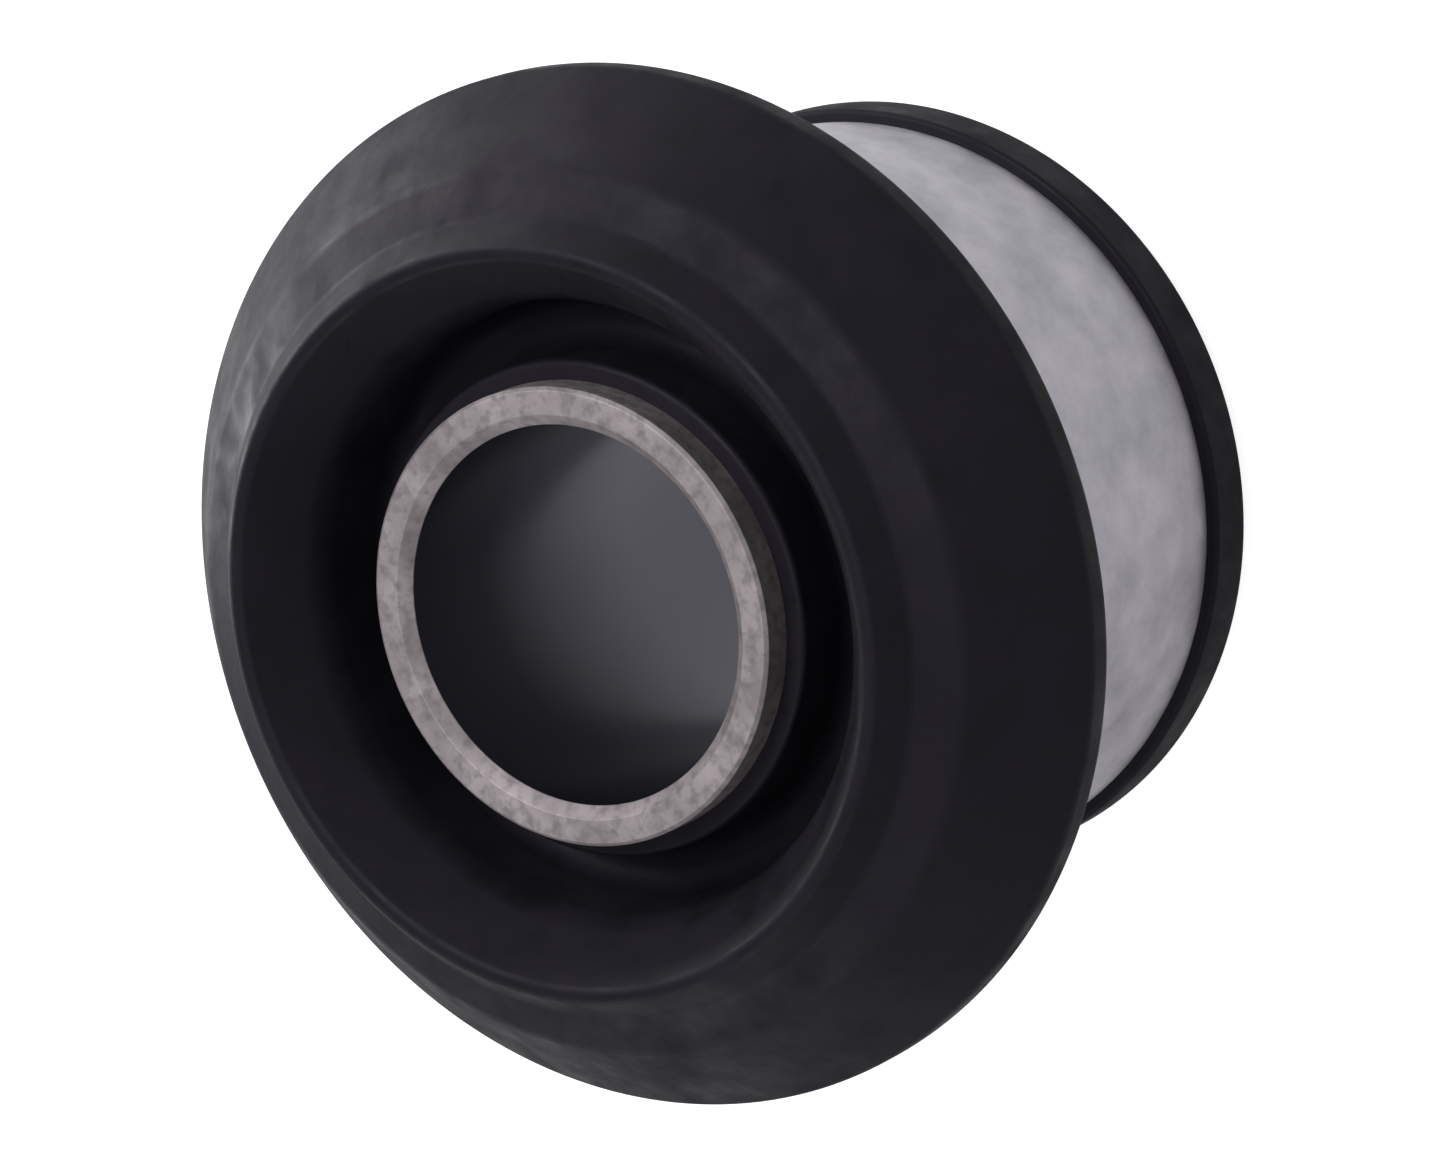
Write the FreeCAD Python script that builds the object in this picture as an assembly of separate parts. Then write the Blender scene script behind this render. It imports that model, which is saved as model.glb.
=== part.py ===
"""Flanged rubber metal bush: a steel inner tube and a plated outer sleeve, bonded by one rubber moulding.

The bush stands on the rear end of its inner tube. Z runs along the bore, from the rear end at 0 to the
dished flange at the front. Every piece is a body of revolution, so each one is a closed section of
corners, in millimetres, turned once round Z.
"""
import FreeCAD, Part
import math
import os
from collections import namedtuple

# Inner tube
tube_length = 50.0
bore_radius = 14.5
tube_wall = 3.0
bore_chamfer = 0.9
outer_chamfer = 0.3

# Outer sleeve, with its front end turned out as a collar
sleeve_radius = 30.0
sleeve_wall = 2.0
collar_radius = 35.5
mouth_bevel = 1.2

# Heights of the seat, where the collar meets the eye that holds the bush, and of the rubber's rear face
seat_height = 39.0
rubber_rear_height = 1.0

# Rubber flange: its edge, and the cone that rises from the edge to the shoulder of the lip
flange_radius = 40.0
flange_edge = 2.8
cone_rise = 8.9
cone_run = 7.5
edge_round = 1.1
edge_bevel = 0.8

# Raised lip on top of the cone: a gentle band from its shoulder to the foot of a narrow crest
crest_height = 2.8
crest_radius = 28.4
crest_width = 0.9
groove_drop = 1.3
groove_radius = 29.5
shoulder_round = 1.2
crest_round = 0.45

# Front dish inside the crest, and the narrow well that it falls into beside the tube
dish_drop = 4.8
dish_run = 3.9
dish_round = 1.5
well_depth = 8.0
well_draft = 0.5
well_bevel = 1.2

# Rubber skin that is left on the tube at both ends of the moulding
skin_thickness = 1.5
front_skin_gap = 2.7
rear_skin_gap = 2.6

# Rear lip, which wraps the sleeve's end, and the rear dish and well
lip_cover = 2.5
lip_wrap = 2.4
lip_thickness = 1.0
lip_bevel = 0.7
rear_face_width = 4.4
rear_dish_drop = 1.6
rear_dish_run = 3.2
rear_well_depth = 6.5

tube_radius = bore_radius + tube_wall
sleeve_bore_radius = sleeve_radius - sleeve_wall
sleeve_rear_height = rubber_rear_height + lip_cover
collar_front_height = seat_height + sleeve_wall
edge_height = seat_height + flange_edge
shoulder_radius = flange_radius - cone_run
shoulder_height = edge_height + cone_rise
skin_radius = tube_radius + skin_thickness
axis_start = FreeCAD.Vector(0, 0, 0)
axis_direction = FreeCAD.Vector(0, 0, 1)

# One corner of a section; with no rounding and no bevel it is sharp
Corner = namedtuple("Corner", "radius height rounding bevel", defaults=(0, 0))


def corner_points(before, place, after, corner):
    """Return the points that finish a corner: the arc's three, the bevel's two, or the corner alone."""
    inward = (before - place).normalize()
    outward = (after - place).normalize()
    if corner.bevel > 0:
        return place + inward * corner.bevel, place + outward * corner.bevel
    if corner.rounding == 0:
        return (place,)
    half_angle = inward.getAngle(outward) / 2
    reach = corner.rounding / math.tan(half_angle)
    bisector = (inward + outward).normalize()
    middle = place + bisector * (corner.rounding / math.sin(half_angle) - corner.rounding)
    return place + inward * reach, middle, place + outward * reach


def section_face(corners):
    """Build the flat section, in the XZ plane, that the corners enclose."""
    places = [FreeCAD.Vector(corner.radius, 0, corner.height) for corner in corners]
    count = len(corners)
    finishes = []
    for index, corner in enumerate(corners):
        finishes.append(corner_points(places[index - 1], places[index], places[(index + 1) % count], corner))
    edges = []
    for index, points in enumerate(finishes):
        if len(points) == 3:
            edges.append(Part.Arc(*points).toShape())
        if len(points) == 2:
            edges.append(Part.LineSegment(*points).toShape())
        following = finishes[(index + 1) % count]
        edges.append(Part.LineSegment(points[-1], following[0]).toShape())
    return Part.Face(Part.Wire(edges))


def turned(corners):
    """Turn a section once round the bush's axis."""
    return section_face(corners).revolve(axis_start, axis_direction, 360)


def make_inner_tube():
    """Steel tube with chamfered ends; the bolt clamps its two end faces."""
    return turned([
        Corner(bore_radius, 0, bevel=bore_chamfer),
        Corner(tube_radius, 0, bevel=outer_chamfer),
        Corner(tube_radius, tube_length, bevel=outer_chamfer),
        Corner(bore_radius, tube_length, bevel=bore_chamfer),
    ])


def make_outer_sleeve():
    """Sleeve whose front end turns out into the collar behind the flange."""
    return turned([
        Corner(sleeve_bore_radius, sleeve_rear_height),
        Corner(sleeve_radius, sleeve_rear_height),
        Corner(sleeve_radius, seat_height),
        Corner(collar_radius, seat_height),
        Corner(collar_radius, collar_front_height),
        Corner(sleeve_bore_radius, collar_front_height, bevel=mouth_bevel),
    ])


def front_of_rubber():
    """Flange, lip, dish and well, from the collar's edge in to the skin on the tube."""
    crest_top = shoulder_height + crest_height
    dish_radius = crest_radius - crest_width - dish_run
    well_bottom = crest_top - dish_drop - well_depth
    skin_top = tube_length - front_skin_gap
    return [
        Corner(flange_radius, seat_height, bevel=edge_bevel),
        Corner(flange_radius, edge_height, rounding=edge_round),
        Corner(shoulder_radius, shoulder_height, rounding=shoulder_round),
        Corner(groove_radius, crest_top - groove_drop),
        Corner(crest_radius, crest_top, rounding=crest_round),
        Corner(crest_radius - crest_width, crest_top, rounding=crest_round),
        Corner(dish_radius, crest_top - dish_drop, rounding=dish_round),
        Corner(dish_radius - well_draft, well_bottom, bevel=well_bevel),
        Corner(skin_radius, well_bottom, bevel=well_bevel),
        Corner(skin_radius, skin_top),
        Corner(tube_radius, skin_top),
    ]


def rear_of_rubber():
    """Skin on the tube, rear well, rear dish and the lip that wraps the sleeve's end."""
    lip_radius = sleeve_radius + lip_thickness
    face_radius = lip_radius - rear_face_width
    dish_radius = face_radius - rear_dish_run
    dish_height = rubber_rear_height + rear_dish_drop
    well_top = dish_height + rear_well_depth
    return [
        Corner(tube_radius, rear_skin_gap),
        Corner(skin_radius, rear_skin_gap),
        Corner(skin_radius, well_top, bevel=well_bevel),
        Corner(dish_radius - well_draft, well_top, bevel=well_bevel),
        Corner(dish_radius, dish_height),
        Corner(face_radius, rubber_rear_height),
        Corner(lip_radius, rubber_rear_height, bevel=lip_bevel),
        Corner(lip_radius, sleeve_rear_height + lip_wrap),
        Corner(sleeve_radius, sleeve_rear_height + lip_wrap),
    ]


def make_rubber_body():
    """One moulding, bonded to the tube, the sleeve's bore, its rear end and its collar."""
    against_sleeve = [
        Corner(sleeve_radius, sleeve_rear_height),
        Corner(sleeve_bore_radius, sleeve_rear_height),
        Corner(sleeve_bore_radius, collar_front_height, bevel=mouth_bevel),
        Corner(collar_radius, collar_front_height),
        Corner(collar_radius, seat_height),
    ]
    return turned(rear_of_rubber() + against_sleeve + front_of_rubber())


def main():
    """Write one STEP file for each piece."""
    os.makedirs("parts", exist_ok=True)
    pieces = {
        "inner_tube": make_inner_tube(),
        "rubber_body": make_rubber_body(),
        "outer_sleeve": make_outer_sleeve(),
    }
    for name, shape in pieces.items():
        shape.exportStep("parts/" + name + ".step")
        print(name, "valid", shape.isValid(), "volume_mm3", round(shape.Volume, 1), shape.BoundBox)


main()
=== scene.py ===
"""Looks of a flanged rubber metal bush that stands on the rear end of its inner tube.

Z runs along the bore, up to the dished flange, in the frame of the solids. The sizes of the three pieces and
the names that end in _mm are in millimetres. All other lengths are in metres.
"""
import logging
import math
from dataclasses import dataclass, field
from enum import Enum

import bmesh
import bpy
from mathutils import Matrix, Vector


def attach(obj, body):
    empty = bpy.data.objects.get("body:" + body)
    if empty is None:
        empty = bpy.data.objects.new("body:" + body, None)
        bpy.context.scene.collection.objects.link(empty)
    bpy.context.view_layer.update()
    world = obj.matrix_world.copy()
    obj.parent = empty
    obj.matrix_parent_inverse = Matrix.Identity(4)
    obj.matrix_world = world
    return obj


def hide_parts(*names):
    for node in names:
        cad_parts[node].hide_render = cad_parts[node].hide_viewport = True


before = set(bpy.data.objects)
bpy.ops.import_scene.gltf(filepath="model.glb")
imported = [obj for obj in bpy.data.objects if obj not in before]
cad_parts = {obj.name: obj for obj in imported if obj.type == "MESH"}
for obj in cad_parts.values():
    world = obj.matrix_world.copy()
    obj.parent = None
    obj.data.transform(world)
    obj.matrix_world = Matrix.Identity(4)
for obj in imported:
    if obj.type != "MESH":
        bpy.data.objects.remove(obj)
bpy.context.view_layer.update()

MM = 0.001
BODY = "root"
WHITE = (1, 1, 1, 1)

# The sRGB curve is straight up to its knee and a power above it
SRGB_KNEE = 0.04045
SRGB_SLOPE = 12.92
SRGB_OFFSET = 0.055
SRGB_SCALE = 1.055
SRGB_POWER = 2.4

# Most of a noise texture's values lie between these two
NOISE_LOW = 0.3
NOISE_HIGH = 0.7

# A wave texture repeats every 0.314 units of its own scale
WAVE_PERIOD = 0.314

log = logging.getLogger("bush")


class Slot(Enum):
    """Names of the material slots."""

    STEEL_TUBE = "steel_tube"
    MOULDED_RUBBER = "moulded_rubber"
    ZINC_SLEEVE = "zinc_sleeve"


def linear(hex_colour: str) -> tuple[float, float, float, float]:
    """Turn an sRGB hex colour into linear values.

    Args:
        hex_colour: six hex digits, such as "8A8F94".

    Returns:
        Red, green, blue and an alpha of 1.
    """
    values = [int(hex_colour[start:start + 2], 16) / 255 for start in (0, 2, 4)]
    red, green, blue = (
        value / SRGB_SLOPE if value <= SRGB_KNEE else ((value + SRGB_OFFSET) / SRGB_SCALE) ** SRGB_POWER
        for value in values
    )
    return red, green, blue, 1.0


def add_node(tree: bpy.types.NodeTree, kind: str, settings: dict | None = None,
             links: dict | None = None) -> bpy.types.Node:
    """Add one node with its settings and links.

    Args:
        tree: the node tree that gets the node.
        kind: the node's Blender type.
        settings: attribute or input names with their values.
        links: input names with the output socket that feeds each.

    Returns:
        The new node.
    """
    node = tree.nodes.new(kind)
    for name, value in (settings or {}).items():
        if isinstance(name, str) and hasattr(node, name):
            setattr(node, name, value)
        else:
            node.inputs[name].default_value = value
    for name, socket in (links or {}).items():
        tree.links.new(socket, node.inputs[name])
    return node


def ramp_stops(node: bpy.types.Node, stops: list[tuple[float, str]]) -> None:
    """Set the colours of a Color Ramp node.

    Args:
        node: the Color Ramp node.
        stops: place from 0 to 1 and sRGB hex colour of each stop.
    """
    elements = node.color_ramp.elements
    while len(elements) < len(stops):
        elements.new(1.0)
    for element, (place, colour) in zip(elements, stops):
        element.position = place
        element.color = linear(colour)


def new_material(name: str) -> tuple[bpy.types.Material, bpy.types.NodeTree]:
    """Make an empty node material.

    Args:
        name: what the material is called.

    Returns:
        The material and its node tree, with no nodes.
    """
    material = bpy.data.materials.new(name)
    material.use_nodes = True
    material.node_tree.nodes.clear()
    return material, material.node_tree


@dataclass(frozen=True)
class MouldedRubber:
    """Black natural rubber, compression moulded: nearly black, with a soft grey sheen and a fine grain.

    A thin bloom greys it in clouds, and its sheen is uneven in blotches of a few millimetres.
    """

    base: str = "131217"
    base_until: float = 0.35
    bloom: str = "1A181F"
    bloom_from: float = 0.7
    cloud_mm: float = 9.0
    cloud_detail: float = 5.0
    blotch_mm: float = 4.5
    blotch_detail: float = 3.0
    patchiness: float = 0.6
    roughness_low: float = 0.42
    roughness_high: float = 0.70
    index: float = 1.52
    gloss_level: float = 0.145
    sheen: str = "F2EAFF"
    wave_depth_mm: float = 0.12
    wave_strength: float = 0.5
    # The real grain is too fine to show in the render, so it is drawn as coarse as it needs to show
    grain_mm: float = 0.5
    grain_detail: float = 3.0
    grain_depth_mm: float = 0.05
    grain_strength: float = 0.35

    def make(self) -> bpy.types.Material:
        """Build the material.

        Returns:
            The new material.
        """
        material, tree = new_material("moulded_rubber")
        place = add_node(tree, "ShaderNodeTexCoord").outputs["Object"]
        cloud = add_node(
            tree, "ShaderNodeTexNoise",
            {"Scale": 1 / (self.cloud_mm * MM), "Detail": self.cloud_detail, "Roughness": self.patchiness},
            {"Vector": place})
        colour = add_node(tree, "ShaderNodeValToRGB", links={"Fac": cloud.outputs["Fac"]})
        ramp_stops(colour, [(self.base_until, self.base), (self.bloom_from, self.bloom)])
        blotch = add_node(
            tree, "ShaderNodeTexNoise",
            {"Scale": 1 / (self.blotch_mm * MM), "Detail": self.blotch_detail, "Roughness": self.patchiness},
            {"Vector": place})
        rough = add_node(
            tree, "ShaderNodeMapRange",
            {"From Min": NOISE_LOW, "From Max": NOISE_HIGH,
             "To Min": self.roughness_low, "To Max": self.roughness_high},
            {"Value": blotch.outputs["Fac"]})
        waves = add_node(
            tree, "ShaderNodeBump", {"Strength": self.wave_strength, "Distance": self.wave_depth_mm * MM},
            {"Height": blotch.outputs["Fac"]})
        grain = add_node(
            tree, "ShaderNodeTexNoise", {"Scale": 1 / (self.grain_mm * MM), "Detail": self.grain_detail},
            {"Vector": place})
        relief = add_node(
            tree, "ShaderNodeBump", {"Strength": self.grain_strength, "Distance": self.grain_depth_mm * MM},
            {"Height": grain.outputs["Fac"], "Normal": waves.outputs["Normal"]})
        shader = add_node(
            tree, "ShaderNodeBsdfPrincipled",
            {"IOR": self.index, "Specular IOR Level": self.gloss_level, "Specular Tint": linear(self.sheen)},
            {"Base Color": colour.outputs["Color"], "Roughness": rough.outputs["Result"],
             "Normal": relief.outputs["Normal"]})
        add_node(tree, "ShaderNodeOutputMaterial", links={"Surface": shader.outputs["BSDF"]})
        return material


@dataclass(frozen=True)
class ZincPlate:
    """Zinc plated steel: pale lavender grey metal, matt, with soft mottling left by the plating bath."""

    base: str = "D3D0D7"
    base_from: float = 0.65
    dull: str = "B1AEB7"
    dull_until: float = 0.3
    mottle_mm: float = 6.0
    mottle_detail: float = 6.0
    patchiness: float = 0.65
    roughness_low: float = 0.52
    roughness_high: float = 0.66
    # The plate's real grain is too fine to show in the render, so it is drawn as coarse as it needs to show
    fine_mm: float = 0.6
    fine_detail: float = 2.0
    fine_depth_mm: float = 0.03
    fine_strength: float = 0.15

    def make(self) -> bpy.types.Material:
        """Build the material.

        Returns:
            The new material.
        """
        material, tree = new_material("zinc_plated_steel")
        place = add_node(tree, "ShaderNodeTexCoord").outputs["Object"]
        mottle = add_node(
            tree, "ShaderNodeTexNoise",
            {"Scale": 1 / (self.mottle_mm * MM), "Detail": self.mottle_detail, "Roughness": self.patchiness},
            {"Vector": place})
        colour = add_node(tree, "ShaderNodeValToRGB", links={"Fac": mottle.outputs["Fac"]})
        ramp_stops(colour, [(self.dull_until, self.dull), (self.base_from, self.base)])
        rough = add_node(
            tree, "ShaderNodeMapRange",
            {"From Min": NOISE_LOW, "From Max": NOISE_HIGH,
             "To Min": self.roughness_low, "To Max": self.roughness_high},
            {"Value": mottle.outputs["Fac"]})
        fine = add_node(
            tree, "ShaderNodeTexNoise", {"Scale": 1 / (self.fine_mm * MM), "Detail": self.fine_detail},
            {"Vector": place})
        relief = add_node(
            tree, "ShaderNodeBump", {"Strength": self.fine_strength, "Distance": self.fine_depth_mm * MM},
            {"Height": fine.outputs["Fac"]})
        shader = add_node(
            tree, "ShaderNodeBsdfPrincipled", {"Metallic": 1.0},
            {"Base Color": colour.outputs["Color"], "Roughness": rough.outputs["Result"],
             "Normal": relief.outputs["Normal"]})
        add_node(tree, "ShaderNodeOutputMaterial", links={"Surface": shader.outputs["BSDF"]})
        return material


@dataclass(frozen=True)
class TurnedSteel:
    """Bare steel tube end, faced and chamfered on a lathe: warm pinkish grey with rings of fine tool marks.

    Small pits and dull patches darken it.
    """

    base: str = "AFA7AA"
    base_from: float = 0.7
    dull: str = "8F888A"
    dull_at: float = 0.3
    marks: str = "776F72"
    marks_until: float = 0.0
    cloud_mm: float = 4.0
    cloud_detail: float = 4.0
    pit_mm: float = 0.9
    pit_detail: float = 3.0
    pit_low: float = 0.15
    pit_high: float = 0.55
    # Real tool marks are too fine to show in the render, so they are drawn as coarse as they need to show
    ring_mm: float = 0.30
    ring_distortion: float = 0.6
    ring_detail: float = 1.0
    ring_depth_mm: float = 0.01
    ring_strength: float = 0.12
    roughness: float = 0.66

    def make(self) -> bpy.types.Material:
        """Build the material.

        Returns:
            The new material.
        """
        material, tree = new_material("turned_steel")
        place = add_node(tree, "ShaderNodeTexCoord").outputs["Object"]
        cloud = add_node(
            tree, "ShaderNodeTexNoise", {"Scale": 1 / (self.cloud_mm * MM), "Detail": self.cloud_detail},
            {"Vector": place})
        pits = add_node(
            tree, "ShaderNodeTexNoise", {"Scale": 1 / (self.pit_mm * MM), "Detail": self.pit_detail},
            {"Vector": place})
        clear = add_node(
            tree, "ShaderNodeMapRange", {"From Min": self.pit_low, "From Max": self.pit_high},
            {"Value": pits.outputs["Fac"]})
        shade = add_node(
            tree, "ShaderNodeMath", {"operation": "MULTIPLY"},
            {0: cloud.outputs["Fac"], 1: clear.outputs["Result"]})
        colour = add_node(tree, "ShaderNodeValToRGB", links={"Fac": shade.outputs["Value"]})
        ramp_stops(colour, [
            (self.marks_until, self.marks), (self.dull_at, self.dull), (self.base_from, self.base),
        ])
        rings = add_node(
            tree, "ShaderNodeTexWave",
            {"wave_type": "RINGS", "rings_direction": "Z", "Scale": WAVE_PERIOD / (self.ring_mm * MM),
             "Distortion": self.ring_distortion, "Detail": self.ring_detail},
            {"Vector": place})
        relief = add_node(
            tree, "ShaderNodeBump", {"Strength": self.ring_strength, "Distance": self.ring_depth_mm * MM},
            {"Height": rings.outputs["Fac"]})
        shader = add_node(
            tree, "ShaderNodeBsdfPrincipled", {"Metallic": 1.0, "Roughness": self.roughness},
            {"Base Color": colour.outputs["Color"], "Normal": relief.outputs["Normal"]})
        add_node(tree, "ShaderNodeOutputMaterial", links={"Surface": shader.outputs["BSDF"]})
        return material


@dataclass(frozen=True)
class DrawnBore:
    """Inside of the drawn steel tube: smooth and cool grey, with painted shade that darkens it towards the
    front end.
    """

    bare: str = "94929C"
    bare_until: float = 0.1
    # Colour of the painted shade at the bore's front end; the lighter colour above is the steel's own
    shaded: str = "5B5962"
    shaded_from: float = 1.0
    cloud_mm: float = 14.0
    cloud_detail: float = 2.0
    shade_from_mm: float = 20.0
    shade_to_mm: float = 42.0
    unevenness: float = 0.25
    roughness: float = 0.26

    def make(self) -> bpy.types.Material:
        """Build the material.

        Returns:
            The new material.
        """
        material, tree = new_material("drawn_steel_bore")
        place = add_node(tree, "ShaderNodeTexCoord").outputs["Object"]
        cloud = add_node(
            tree, "ShaderNodeTexNoise", {"Scale": 1 / (self.cloud_mm * MM), "Detail": self.cloud_detail},
            {"Vector": place})
        height = add_node(tree, "ShaderNodeSeparateXYZ", links={"Vector": place}).outputs["Z"]
        # Painted shade: the colour darkens along Z, from the bore's deep end towards its front mouth
        painted_shade = add_node(
            tree, "ShaderNodeMapRange",
            {"From Min": self.shade_from_mm * MM, "From Max": self.shade_to_mm * MM}, {"Value": height})
        # Random cloudy tone plus the painted shade
        tone_and_shade = add_node(
            tree, "ShaderNodeMath", {"operation": "MULTIPLY_ADD", 1: self.unevenness},
            {0: cloud.outputs["Fac"], 2: painted_shade.outputs["Result"]})
        colour = add_node(tree, "ShaderNodeValToRGB", links={"Fac": tone_and_shade.outputs["Value"]})
        ramp_stops(colour, [(self.bare_until, self.bare), (self.shaded_from, self.shaded)])
        shader = add_node(
            tree, "ShaderNodeBsdfPrincipled", {"Metallic": 1.0, "Roughness": self.roughness},
            {"Base Color": colour.outputs["Color"]})
        add_node(tree, "ShaderNodeOutputMaterial", links={"Surface": shader.outputs["BSDF"]})
        return material


@dataclass(frozen=True)
class Corner:
    """One corner of a section, in millimetres; a rounding of 0 leaves it sharp."""

    radius: float
    height: float
    rounding: float = 0.0


@dataclass
class TurnedPiece:
    """A closed section turned once round Z."""

    name: str
    node: str
    material_slot: Slot
    corners: list[Corner]
    steps: int = 224
    arc_segments: int = 7
    sharp_above: float = math.radians(32)
    merge_within: float = 1e-6

    def rounding_reach(self, index: int) -> float:
        """Work out how far a corner's rounding reaches along its two edges.

        Args:
            index: the corner's place in the section.

        Returns:
            The distance in metres.
        """
        before, here, after = (self.corners[i % len(self.corners)] for i in (index - 1, index, index + 1))
        inward = Vector((before.radius - here.radius, before.height - here.height))
        outward = Vector((after.radius - here.radius, after.height - here.height))
        return here.rounding * MM / math.tan(inward.angle(outward) / 2)

    def draw_section(self, mesh: bmesh.types.BMesh) -> None:
        """Draw the section as a closed wire in the XZ plane and round its corners.

        Args:
            mesh: the empty mesh that gets the wire.
        """
        verts = [mesh.verts.new((corner.radius * MM, 0, corner.height * MM)) for corner in self.corners]
        for start, end in zip(verts, verts[1:] + verts[:1]):
            mesh.edges.new((start, end))
        for index, corner in enumerate(self.corners):
            if corner.rounding > 0:
                bmesh.ops.bevel(mesh, geom=[verts[index]], affect="VERTICES", offset_type="OFFSET",
                                offset=self.rounding_reach(index), segments=self.arc_segments,
                                profile=0.5, material=-1, clamp_overlap=False)

    def build(self, material: bpy.types.Material) -> bpy.types.Object:
        """Turn the section, dress it and let it stand for its solid.

        Args:
            material: the finish of the whole piece.

        Returns:
            The new object.
        """
        mesh = bmesh.new()
        self.draw_section(mesh)
        bmesh.ops.spin(mesh, geom=mesh.verts[:] + mesh.edges[:], cent=(0, 0, 0), axis=(0, 0, 1),
                       dvec=(0, 0, 0), angle=math.tau, steps=self.steps, use_merge=True,
                       use_duplicate=False)
        bmesh.ops.remove_doubles(mesh, verts=mesh.verts[:], dist=self.merge_within)
        bmesh.ops.recalc_face_normals(mesh, faces=mesh.faces[:])
        for face in mesh.faces:
            face.smooth = True
        data = bpy.data.meshes.new(self.name)
        mesh.to_mesh(data)
        mesh.free()
        data.set_sharp_from_angle(angle=self.sharp_above)
        data.materials.append(material)
        piece = bpy.data.objects.new(self.name, data)
        bpy.context.scene.collection.objects.link(piece)
        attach(piece, BODY)
        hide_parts(self.node)
        log.info("%s: %d faces", self.name, len(data.polygons))
        return piece


@dataclass
class InnerTube:
    """Steel tube through the bush, chamfered at both ends."""

    bore_radius: float = 14.5
    radius: float = 17.5
    length: float = 50.0
    bore_chamfer: float = 0.9
    outer_chamfer: float = 0.3
    edge_break: float = 0.12

    def build(self) -> bpy.types.Object:
        """Build and dress the tube.

        Returns:
            The finished tube.
        """
        inner, outer, soft = self.bore_chamfer, self.outer_chamfer, self.edge_break
        corners = [
            Corner(self.bore_radius + inner, 0, soft),
            Corner(self.radius - outer, 0, soft),
            Corner(self.radius, outer, soft),
            Corner(self.radius, self.length - outer, soft),
            Corner(self.radius - outer, self.length, soft),
            Corner(self.bore_radius + inner, self.length, soft),
            Corner(self.bore_radius, self.length - inner, soft),
            Corner(self.bore_radius, inner, soft),
        ]
        turned = TurnedPiece("inner_tube_finished", "inner_tube", Slot.STEEL_TUBE, corners)
        piece = turned.build(TurnedSteel().make())
        self.line_bore(piece)
        return piece

    def line_bore(self, piece: bpy.types.Object) -> None:
        """Give the wall of the bore its own finish.

        Args:
            piece: the finished tube.
        """
        lining = len(piece.data.materials)
        piece.data.materials.append(DrawnBore().make())
        for face in piece.data.polygons:
            if math.hypot(face.center.x, face.center.y) < self.bore_radius * MM:
                face.material_index = lining


@dataclass
class OuterSleeve:
    """Drawn sleeve with its front end turned out as a collar."""

    radius: float = 30.0
    wall: float = 2.0
    rear_height: float = 3.5
    seat_height: float = 39.0
    collar_radius: float = 35.5
    bend: float = 1.5
    chamfer: float = 0.4

    def build(self) -> bpy.types.Object:
        """Build and dress the sleeve.

        Returns:
            The finished sleeve.
        """
        inside = self.radius - self.wall
        front = self.seat_height + self.wall
        corners = [
            Corner(inside, self.rear_height),
            Corner(self.radius - self.chamfer, self.rear_height),
            Corner(self.radius, self.rear_height + self.chamfer),
            Corner(self.radius, self.seat_height, self.bend),
            Corner(self.collar_radius, self.seat_height),
            Corner(self.collar_radius, front),
            Corner(inside, front, self.bend + self.wall),
        ]
        turned = TurnedPiece("outer_sleeve_plated", "outer_sleeve", Slot.ZINC_SLEEVE, corners)
        return turned.build(ZincPlate().make())


@dataclass
class RubberMoulding:
    """The moulding: flange, lip, dish, well, the mass between the metal pieces and the rear lip.

    In front, from the cone in to the dish, its band lies up to 0.8 mm lower than the solid's, and the face of
    its crest is wider and steeper.
    """

    tube: InnerTube
    sleeve: OuterSleeve
    skin: float = 1.5
    skin_round: float = 0.5
    well_round: float = 1.7
    flange_radius: float = 40.0
    flange_edge: float = 2.8
    flange_round: float = 1.1
    # Outer and inner end of the band, the crest's two edges, then the foot of the dish and the well's bottom
    front: list[Corner] = field(default_factory=lambda: [
        Corner(33.7, 49.28, 2.6),
        Corner(30.4, 51.0, 1.3),
        Corner(28.6, 53.5, 0.8),
        Corner(27.6, 53.5, 0.8),
        Corner(23.6, 48.2, 5.0),
        Corner(23.1, 40.7, 1.7),
    ])
    # Top of the rear well, foot of the rear dish, the rear face's two edges, then the lip's end
    rear: list[Corner] = field(default_factory=lambda: [
        Corner(22.9, 9.1, 1.7),
        Corner(23.4, 2.6, 1.5),
        Corner(26.6, 1.0, 0.9),
        Corner(31.0, 1.0, 0.9),
        Corner(31.0, 5.9, 0.4),
    ])
    front_skin_top: float = 47.3
    rear_skin_bottom: float = 2.6

    def build(self) -> bpy.types.Object:
        """Build and dress the moulding.

        Returns:
            The finished moulding.
        """
        sleeve = self.sleeve
        edge = sleeve.seat_height + self.flange_edge
        front_face = sleeve.seat_height + sleeve.wall
        inside = sleeve.radius - sleeve.wall
        skin_radius = self.tube.radius + self.skin
        corners = [
            Corner(self.tube.radius, self.rear_skin_bottom),
            Corner(skin_radius, self.rear_skin_bottom, self.skin_round),
            Corner(skin_radius, self.rear[0].height, self.well_round),
            *self.rear,
            Corner(sleeve.radius, self.rear[-1].height),
            Corner(sleeve.radius, sleeve.rear_height + sleeve.chamfer),
            Corner(sleeve.radius - sleeve.chamfer, sleeve.rear_height),
            Corner(inside, sleeve.rear_height),
            Corner(inside, front_face, sleeve.bend + sleeve.wall),
            Corner(sleeve.collar_radius, front_face),
            Corner(sleeve.collar_radius, sleeve.seat_height),
            Corner(self.flange_radius, sleeve.seat_height, self.flange_round),
            Corner(self.flange_radius, edge, self.flange_round),
            *self.front,
            Corner(skin_radius, self.front[-1].height, self.well_round),
            Corner(skin_radius, self.front_skin_top, self.skin_round),
            Corner(self.tube.radius, self.front_skin_top),
        ]
        turned = TurnedPiece("rubber_moulding", "rubber_body", Slot.MOULDED_RUBBER, corners)
        return turned.build(MouldedRubber().make())


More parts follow.
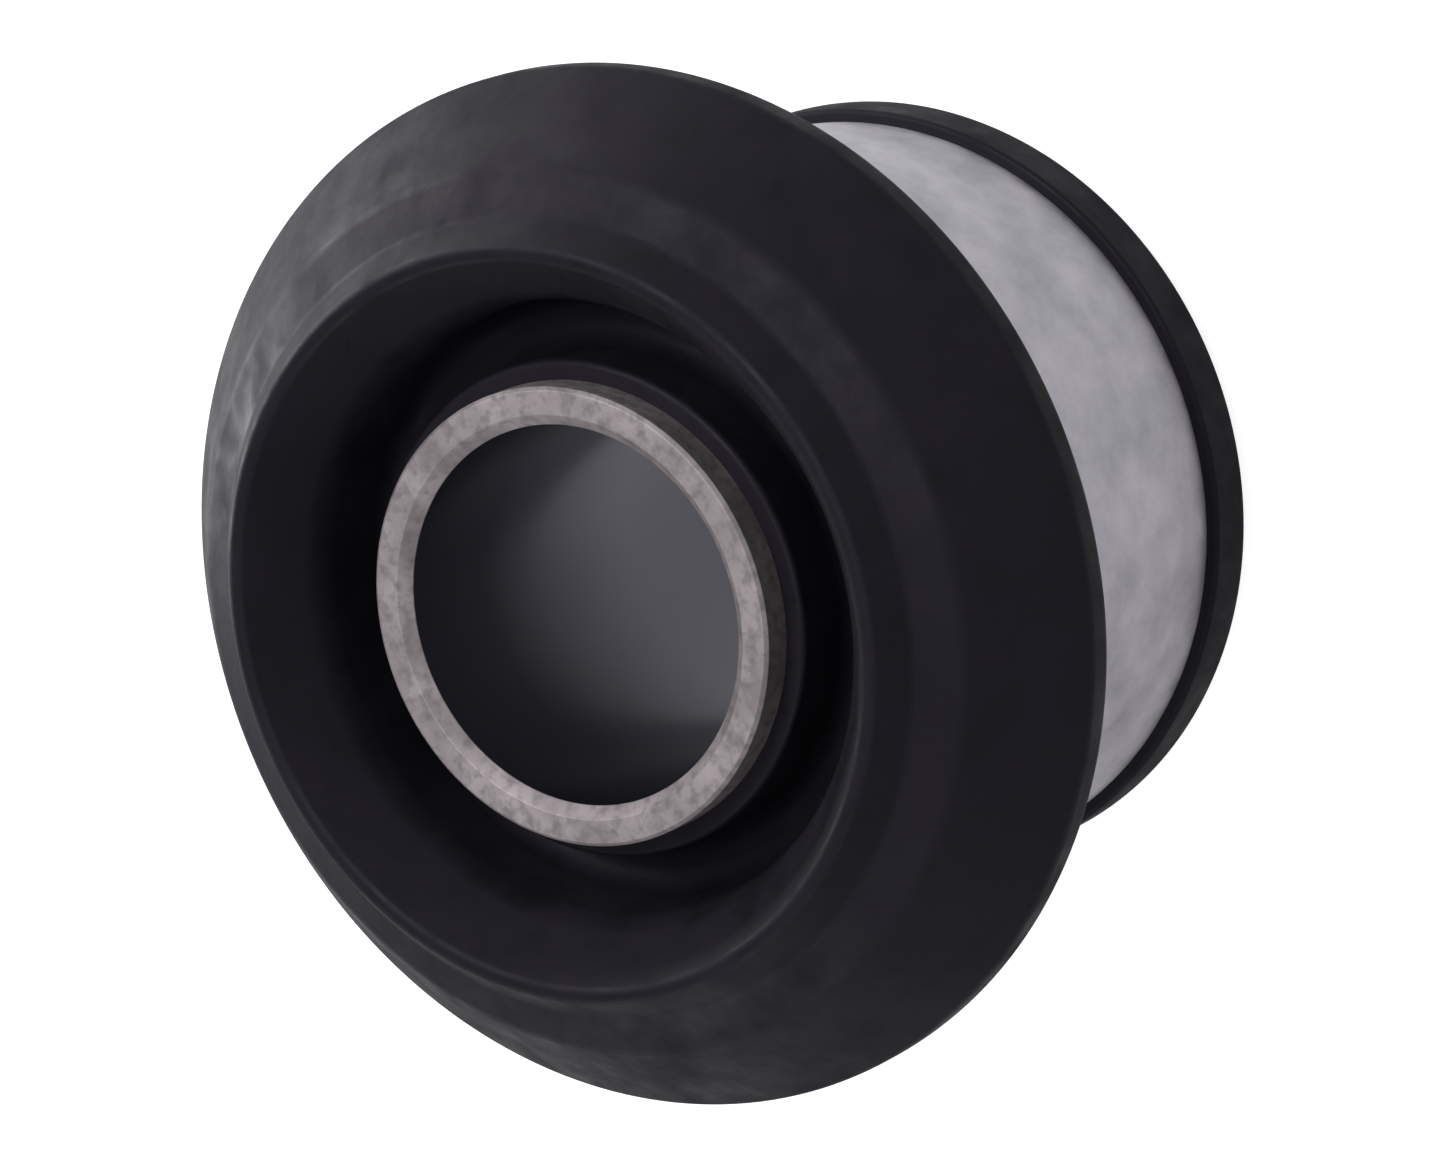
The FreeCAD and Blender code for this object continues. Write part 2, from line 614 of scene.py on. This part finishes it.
@dataclass
class PhotoCamera:
    """Camera at the photograph's viewing angle: it looks into the dish from beside the bore's axis."""

    off_axis: float = math.radians(35.5)
    rear_direction: float = math.radians(22.4)
    distance: float = 0.480
    frame_width: float = 1440
    flange_pixels: float = 516.0
    flange_radius: float = 0.040
    sensor_mm: float = 36.0
    target: tuple[float, float, float] = (0.0, 0.0, 0.0235)
    slide_right: float = 0.00287
    slide_up: float = 0.00318
    nearest: float = 0.01
    farthest: float = 50.0

    def axes(self) -> tuple[Vector, Vector, Vector]:
        """Work out how the camera is turned.

        Returns:
            The picture's right and up directions, and the direction from the bush to the camera.
        """
        back = Vector((0, -math.sin(self.off_axis), math.cos(self.off_axis)))
        level = Vector((1, 0, 0))
        lifted = back.cross(level)
        turn = self.rear_direction + math.radians(90)
        right = level * math.cos(turn) - lifted * math.sin(turn)
        up = level * math.sin(turn) + lifted * math.cos(turn)
        return right, up, back

    def build(self) -> bpy.types.Object:
        """Make the camera and set it as the scene's.

        Returns:
            The camera.
        """
        right, up, back = self.axes()
        data = bpy.data.cameras.new("photo_camera")
        data.sensor_width = self.sensor_mm
        focal_pixels = self.flange_pixels / self.flange_radius * self.distance
        data.lens = self.sensor_mm * focal_pixels / self.frame_width
        data.clip_start = self.nearest
        data.clip_end = self.farthest
        camera = bpy.data.objects.new("photo_camera", data)
        bpy.context.scene.collection.objects.link(camera)
        aim = Vector(self.target) - right * self.slide_right - up * self.slide_up
        turned = Matrix((right, up, back)).transposed().to_4x4()
        camera.matrix_world = Matrix.Translation(aim + back * self.distance) @ turned
        bpy.context.scene.camera = camera
        return camera


@dataclass(frozen=True)
class SoftLamp:
    """One square soft lamp that shines on the bush.

    Args:
        name: what the lamp is called.
        around: degrees round the bore's axis, from the camera's side towards the picture's upper left.
        height: degrees above the floor.
        size: the lamp's side in metres.
        power: its power in watts.
    """

    name: str
    around: float
    height: float
    size: float
    power: float


@dataclass
class Studio:
    """White floor, a white surround and soft lamps placed by the picture's own directions."""

    camera: PhotoCamera
    floor_half: float = 3.0
    floor_drop: float = 0.00002
    floor_colour: str = "B4B4B4"
    floor_seen: float = 0.88
    floor_mirrored: float = 0.24
    surround_light: float = 0.22
    surround_mirrored: float = 0.3
    lamp_distance: float = 0.75
    lamps: list[SoftLamp] = field(default_factory=lambda: [
        SoftLamp("key_top", 75, 60, 0.30, 3.0),
        SoftLamp("key_upper_left", 121, 30, 0.30, 1.5),
        SoftLamp("rim_top", 100, 1.5, 0.08, 0.4),
        SoftLamp("rim_upper_left", 130, 1.5, 0.08, 1.7),
        SoftLamp("rim_left", 155, 1.5, 0.08, 2.4),
        SoftLamp("fill_lower_left", -130, 25, 0.45, 1.2),
        SoftLamp("fill_bottom", -90, 45, 0.45, 0.4),
        SoftLamp("fill_front", 0, 65, 0.45, 0.9),
    ])

    def white_floor(self) -> bpy.types.Material:
        """Make the floor's finish, which keeps the bush's shadow and glows white for the camera.

        Returns:
            The new material.
        """
        material, tree = new_material("white_floor")
        path = add_node(tree, "ShaderNodeLightPath")
        paper = add_node(tree, "ShaderNodeBsdfDiffuse", {"Color": linear(self.floor_colour)})
        seen = add_node(
            tree, "ShaderNodeMath", {"operation": "MULTIPLY", 1: self.floor_seen},
            {0: path.outputs["Is Camera Ray"]})
        mirrored = add_node(
            tree, "ShaderNodeMath", {"operation": "MULTIPLY_ADD", 1: self.floor_mirrored},
            {0: path.outputs["Is Glossy Ray"], 2: seen.outputs["Value"]})
        glow = add_node(
            tree, "ShaderNodeEmission", {"Color": WHITE}, {"Strength": mirrored.outputs["Value"]})
        both = add_node(
            tree, "ShaderNodeAddShader", links={0: paper.outputs["BSDF"], 1: glow.outputs["Emission"]})
        add_node(tree, "ShaderNodeOutputMaterial", links={"Surface": both.outputs["Shader"]})
        return material

    def floor(self) -> None:
        """Lay the floor that the bush stands on, a hair below the tube so that no two faces coincide."""
        mesh = bmesh.new()
        bmesh.ops.create_grid(mesh, x_segments=1, y_segments=1, size=self.floor_half,
                              matrix=Matrix.Translation((0, 0, -self.floor_drop)))
        data = bpy.data.meshes.new("studio_floor")
        mesh.to_mesh(data)
        mesh.free()
        floor = bpy.data.objects.new("studio_floor", data)
        bpy.context.scene.collection.objects.link(floor)
        data.materials.append(self.white_floor())

    def surround(self) -> None:
        """Fill the world with white, which lights the bush and shows in its metal at a lower level."""
        world = bpy.data.worlds.new("white_surround")
        bpy.context.scene.world = world
        world.use_nodes = True
        tree = world.node_tree
        tree.nodes.clear()
        path = add_node(tree, "ShaderNodeLightPath")
        white = add_node(
            tree, "ShaderNodeMath", {"operation": "MAXIMUM"},
            {0: path.outputs["Is Camera Ray"], 1: path.outputs["Is Transmission Ray"]})
        mirrored = add_node(
            tree, "ShaderNodeMath", {"operation": "MULTIPLY", 1: self.surround_mirrored},
            {0: path.outputs["Is Glossy Ray"]})
        shown = add_node(
            tree, "ShaderNodeMath", {"operation": "MAXIMUM"},
            {0: white.outputs["Value"], 1: mirrored.outputs["Value"]})
        strength = add_node(
            tree, "ShaderNodeMapRange", {"To Min": self.surround_light, "To Max": 1.0},
            {"Value": shown.outputs["Value"]})
        back = add_node(
            tree, "ShaderNodeBackground", {"Color": WHITE}, {"Strength": strength.outputs["Result"]})
        add_node(tree, "ShaderNodeOutputWorld", links={"Surface": back.outputs["Background"]})

    def place(self, lamp: SoftLamp) -> None:
        """Place one lamp and aim it at the bush.

        Args:
            lamp: which lamp, and where it stands.
        """
        turn = math.radians(lamp.around - 90)
        rise = math.radians(lamp.height)
        direction = Vector((math.cos(turn) * math.cos(rise), math.sin(turn) * math.cos(rise), math.sin(rise)))
        data = bpy.data.lights.new(lamp.name, "AREA")
        data.shape = "SQUARE"
        data.size = lamp.size
        data.energy = lamp.power
        placed = bpy.data.objects.new(lamp.name, data)
        bpy.context.scene.collection.objects.link(placed)
        centre = Vector(self.camera.target)
        placed.location = centre + direction * self.lamp_distance
        placed.rotation_mode = "QUATERNION"
        placed.rotation_quaternion = (centre - placed.location).to_track_quat("-Z", "Y")

    def build(self) -> None:
        """Set the floor, the surround and the lamps."""
        self.floor()
        self.surround()
        for lamp in self.lamps:
            self.place(lamp)


def main() -> None:
    """Build the bush, the camera and the studio."""
    logging.basicConfig(level=logging.INFO, format="%(name)s: %(message)s")
    tube = InnerTube()
    sleeve = OuterSleeve()
    tube.build()
    sleeve.build()
    RubberMoulding(tube, sleeve).build()
    camera = PhotoCamera()
    camera.build()
    Studio(camera).build()
    bpy.context.scene.view_settings.view_transform = "Standard"


if __name__ == "__main__":
    main()
